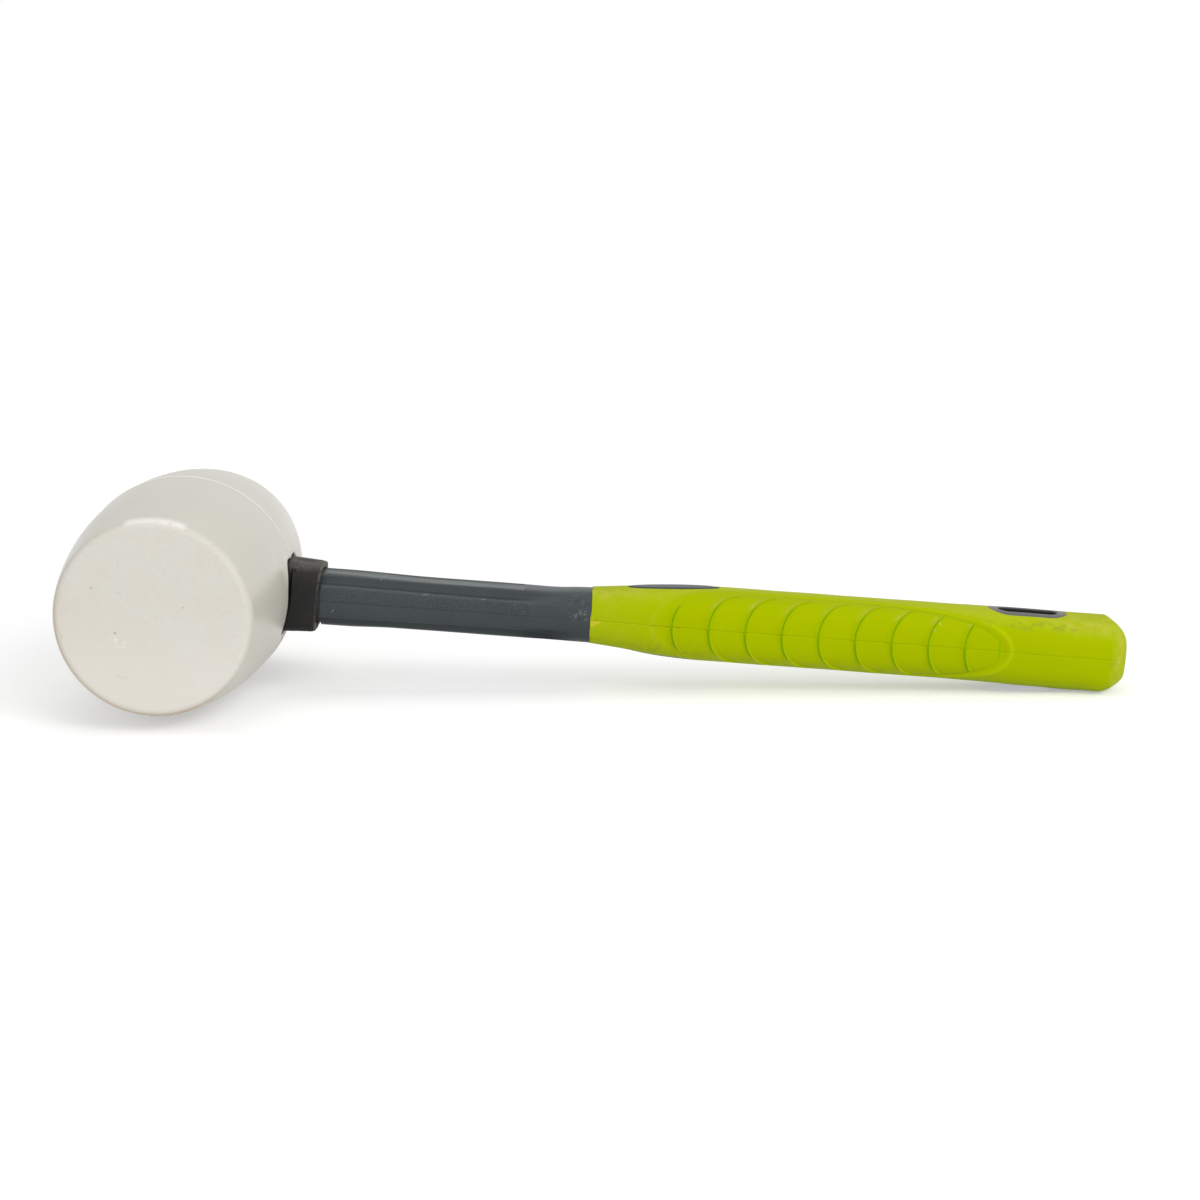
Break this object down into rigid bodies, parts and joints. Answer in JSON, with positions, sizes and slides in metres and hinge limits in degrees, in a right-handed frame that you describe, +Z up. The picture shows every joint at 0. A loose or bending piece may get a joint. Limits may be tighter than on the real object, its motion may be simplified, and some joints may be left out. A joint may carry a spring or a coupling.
{
  "type": "tent mallet",
  "caption": "Tent mallet with a white rubber barrel head, black socket sleeve, jacketed fibreglass handle and lime rubber grip with a hang slot, for driving tent pegs.",
  "frame": {"origin": "on the table that the mallet lies on, below the middle of its bounding box", "axes": "+X along the handle from the head to the butt, +Y along the head's axis, +Z up from the table"},
  "size_m": [0.3276, 0.105, 0.0689],
  "materials": {
    "head_rubber": "matte, slightly chalky moulded rubber",
    "sleeve_rubber": "matte black rubber",
    "rod_fibreglass": "pultruded fibreglass",
    "jacket_plastic": "satin moulded plastic, finely stippled side bands",
    "grip_rubber": "matte soft-touch rubber"
  },
  "bodies": {
    "root": {"head": "head_rubber", "head_sleeve": "sleeve_rubber", "core_rod": "rod_fibreglass", "handle_jacket": "jacket_plastic", "grip": "grip_rubber"}
  },
  "joints": []
}
